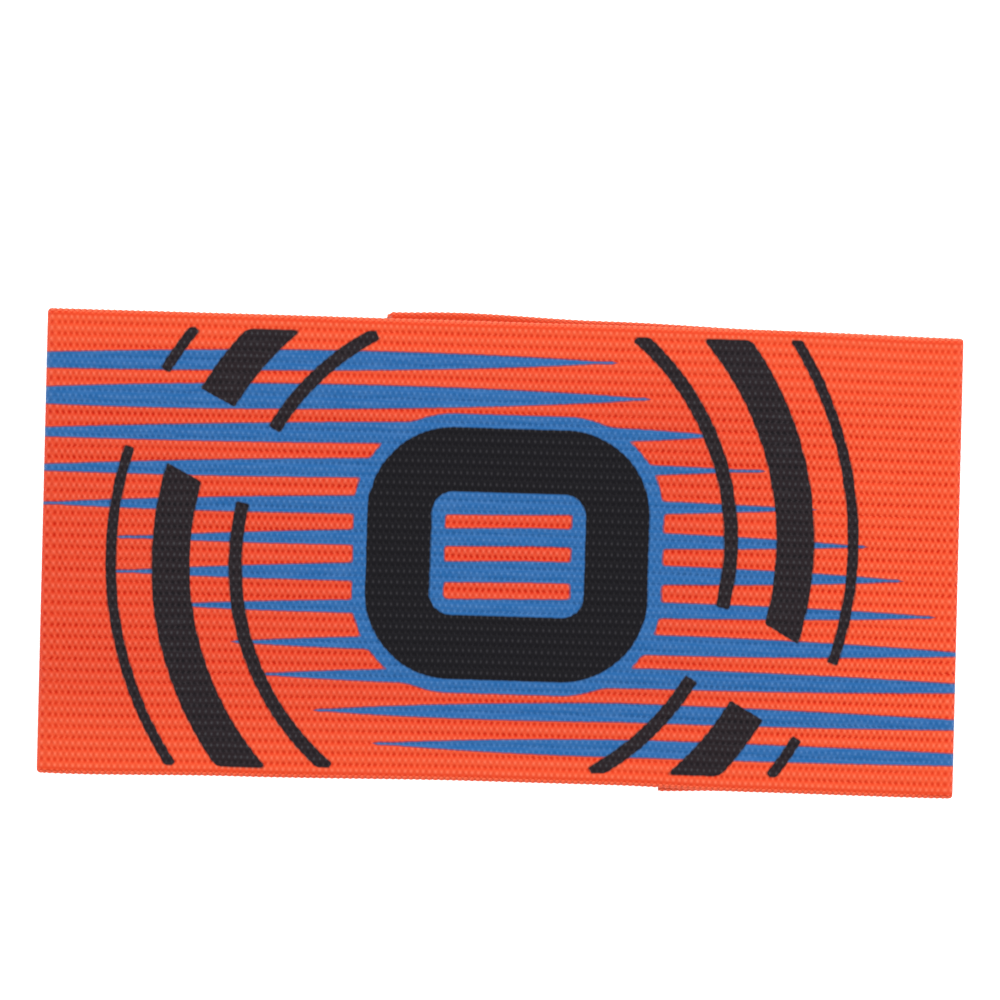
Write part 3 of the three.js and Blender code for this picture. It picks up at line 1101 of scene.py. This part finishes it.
def frayed_ends(strip, name, material):
    """Short ends of yarn that stand out of the two cut ends of the strip."""
    random = np.random.default_rng(7)
    joined = Joined()
    share = np.linspace(0, 1, FRAY_POINTS)
    radius = FRAY_RADIUS * (1 - 0.5 * share)
    side = np.tile([0.0, 1.0, 0.0], (FRAY_POINTS, 1))
    for distance, outward in ((0.0, -1), (strip.length, 1)):
        low, high = (edge[0] for edge in strip.edges(np.array([distance])))
        places = np.linspace(low + FRAY_EDGE, high - FRAY_EDGE, RIB_COUNT * FRAY_PER_RIB)
        for across in places:
            depth = random.uniform(-FRAY_DEPTH, FRAY_DEPTH)
            length = random.uniform(*FRAY_LENGTH)
            bend = random.uniform(-FRAY_BEND, FRAY_BEND, 2)
            along = distance + outward * (length * share - FRAY_ROOT)
            path = strip.place(along, across + bend[0] * share**2, depth + bend[1] * share**2)
            up = np.tile(UP * np.sign(path[-1, 0] - path[0, 0]), (FRAY_POINTS, 1))
            joined.add(*tube(path, side, up, radius, radius, FRAY_SIDES))
    return joined.build(name, material)


def rounded_outline(inset, count_per_corner=8):
    """The closure tape's outline, counter-clockwise, moved in by an inset."""
    radius = max(TAPE_CORNER - inset, TIGHTEST_CORNER)
    low_x, high_x = TAPE_START + inset + radius, TAPE_END - inset - radius
    half_y = TAPE_WIDTH / 2 - inset - radius
    centres = [(high_x, half_y), (low_x, half_y), (low_x, -half_y), (high_x, -half_y)]
    points = []
    for quarter, centre in enumerate(centres):
        angle = (quarter + np.linspace(0, 1, count_per_corner)) * math.pi / 2
        points.append(centre + radius * np.column_stack([np.cos(angle), np.sin(angle)]))
    return np.concatenate(points)


def add_slab(joined, inset, low, high, bevel):
    """One layer of the tape with softened edges."""
    levels = ((low, inset + bevel), (low + bevel, inset), (high - bevel, inset), (high, inset + bevel))
    rings = []
    for level, ring_inset in levels:
        outline = rounded_outline(ring_inset)
        rings.append(np.column_stack([outline, np.full(len(outline), level)]))
    columns = len(rings[0])
    faces = ring_faces(len(rings), columns).tolist()
    last = (len(rings) - 1) * columns
    faces.append(list(range(columns))[::-1])
    faces.append([last + k for k in range(columns)])
    joined.add(np.concatenate(rings), faces)


def closure_tape(material):
    """The hook and loop tapes pressed together: two woven bases with hooks and loops between."""
    bottom, top = TAPE_LEVEL, TAPE_LEVEL + TAPE_THICKNESS
    low, high = bottom + BASE_THICKNESS, top - BASE_THICKNESS
    joined = Joined()
    add_slab(joined, 0.0, bottom, low, BASE_BEVEL)
    add_slab(joined, UPPER_BASE_INSET, high, top, BASE_BEVEL)
    add_slab(joined, CORE_INSET, low - CORE_OVERLAP, high + CORE_OVERLAP, CORE_BEVEL)
    random = np.random.default_rng(11)
    for inset in HOOK_ROWS:
        outline = rounded_outline(inset, 10)
        closed = np.vstack([outline, outline[:1]])
        steps = np.linalg.norm(np.diff(closed, axis=0), axis=1)
        run = np.concatenate([[0.0], np.cumsum(steps)])
        for distance in np.arange(0.0, run[-1], HOOK_PITCH):
            at = distance + ROW_STAGGER * inset
            spot = [np.interp(at, run, closed[:, k]) for k in (0, 1)]
            add_hook_and_loop(joined, spot, low, high, random)
    tape = joined.build("pressed_closure_tape", material)
    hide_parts("closure_tape")
    return tape


def add_hook_and_loop(joined, spot, low, high, random):
    """A nylon hook that hangs from the upper tape and a loop that stands on the lower one."""
    facing = random.uniform(0, 2 * math.pi)
    drop = (high - low) * random.uniform(*HOOK["height"])
    rise = (high - low) * random.uniform(*LOOP["height"])
    out = np.array([math.cos(facing), math.sin(facing), 0.0])
    beside = np.cross(UP, out)
    angle = np.linspace(0, HOOK["turn"], HOOK["points"])[:, None]
    crook = [*spot, high - drop] + HOOK["reach"] * (out * (1 - np.cos(angle)) - UP * np.sin(angle))
    hook = np.vstack([[*spot, high + ROOT_DEPTH], crook])
    angle = np.linspace(0, LOOP["turn"], LOOP["points"])[:, None]
    foot = [*spot, low - ROOT_DEPTH] + LOOP_BESIDE_HOOK * beside
    loop = foot + LOOP["reach"] * out * np.cos(angle) + rise * UP * np.sin(angle)
    for path, radius in ((hook, HOOK["radius"]), (loop, LOOP["radius"])):
        heading = unit(np.gradient(path, axis=0))
        side = np.tile(-beside, (len(path), 1))
        radii = np.full(len(path), radius)
        joined.add(*tube(path, side, np.cross(heading, side), radii, radii, 4))


# The stage, in metres, but for the floor's gap and the sensor's width in millimetres

FLOOR_HALF = 8.0
FLOOR_GAP = 0.05
WORLD_STRENGTH = 0.93
LIGHTS = table(("name", "place", "size", "power"), [
    ("key", (0.3, 1.5, 1.1), 1.2, 24.0),
    ("fill", (-0.6, -1.0, 1.6), 1.4, 6.0),
])
SENSOR_WIDTH = 36.0
FARTHEST_SEEN = 20.0


def floor():
    half = FLOOR_HALF
    mesh = bpy.data.meshes.new("floor")
    corners = [(-half, -half, 0), (half, -half, 0), (half, half, 0), (-half, half, 0)]
    mesh.from_pydata(corners, [], [(0, 1, 2, 3)])
    mesh.materials.append(floor_material())
    plane = new_object("floor", mesh)
    plane.location.z = -FLOOR_GAP * MM


def area_light(name, place, size, power):
    """A round light that points at the middle of the band."""
    light = bpy.data.lights.new(name, "AREA")
    light.shape = "DISK"
    light.size = size
    light.energy = power
    lamp = new_object(name, light)
    lamp.location = place
    x, y, z = place
    tilt = math.acos(z / math.hypot(x, y, z))
    lamp.rotation_euler = (tilt, 0.0, math.atan2(-y, -x) - math.pi / 2)


def lights():
    world = bpy.data.worlds.new("studio")
    world.use_nodes = True
    background = world.node_tree.nodes["Background"]
    background.inputs["Color"].default_value = (1.0, 1.0, 1.0, 1.0)
    background.inputs["Strength"].default_value = WORLD_STRENGTH
    bpy.context.scene.world = world
    for row in LIGHTS:
        area_light(**row)


def camera():
    data = bpy.data.cameras.new("camera")
    data.sensor_width = SENSOR_WIDTH
    data.lens = data.sensor_width * (CAMERA_HEIGHT - FOLD_LEVEL) / PICTURE_WIDTH
    data.clip_end = FARTHEST_SEEN
    eye = new_object("camera", data)
    eye.location = (PICTURE_MIDDLE[0] * MM, PICTURE_MIDDLE[1] * MM, CAMERA_HEIGHT * MM)
    eye.rotation_euler = (0.0, 0.0, PICTURE_TURN)
    bpy.context.scene.camera = eye


strip = Strip()
segments = seam_segments(strip)
elastic = elastic_material()
edge_yarn = edge_yarn_material()
thread = thread_material("seam_thread", THREAD)
cut_yarn = thread_material("sealed_yarn", SEALED_END)
band = elastic_band(strip, segments, elastic)
sewn_on = [
    selvage(strip, "selvage_lower", 0, edge_yarn),
    selvage(strip, "selvage_upper", 1, edge_yarn),
    stitching(strip, "tape_seam_lower", segments, (0, 1, 2, 3), thread),
    stitching(strip, "tape_seam_upper", segments, (4, 5, 6, 8), thread),
    stitching(strip, "hem_seam", segments, (7,), thread),
    frayed_ends(strip, "cut_end_yarns", cut_yarn),
]
closure_tape(tape_material())
floor()
lights()
camera()
bpy.context.scene.view_settings.view_transform = "Standard"
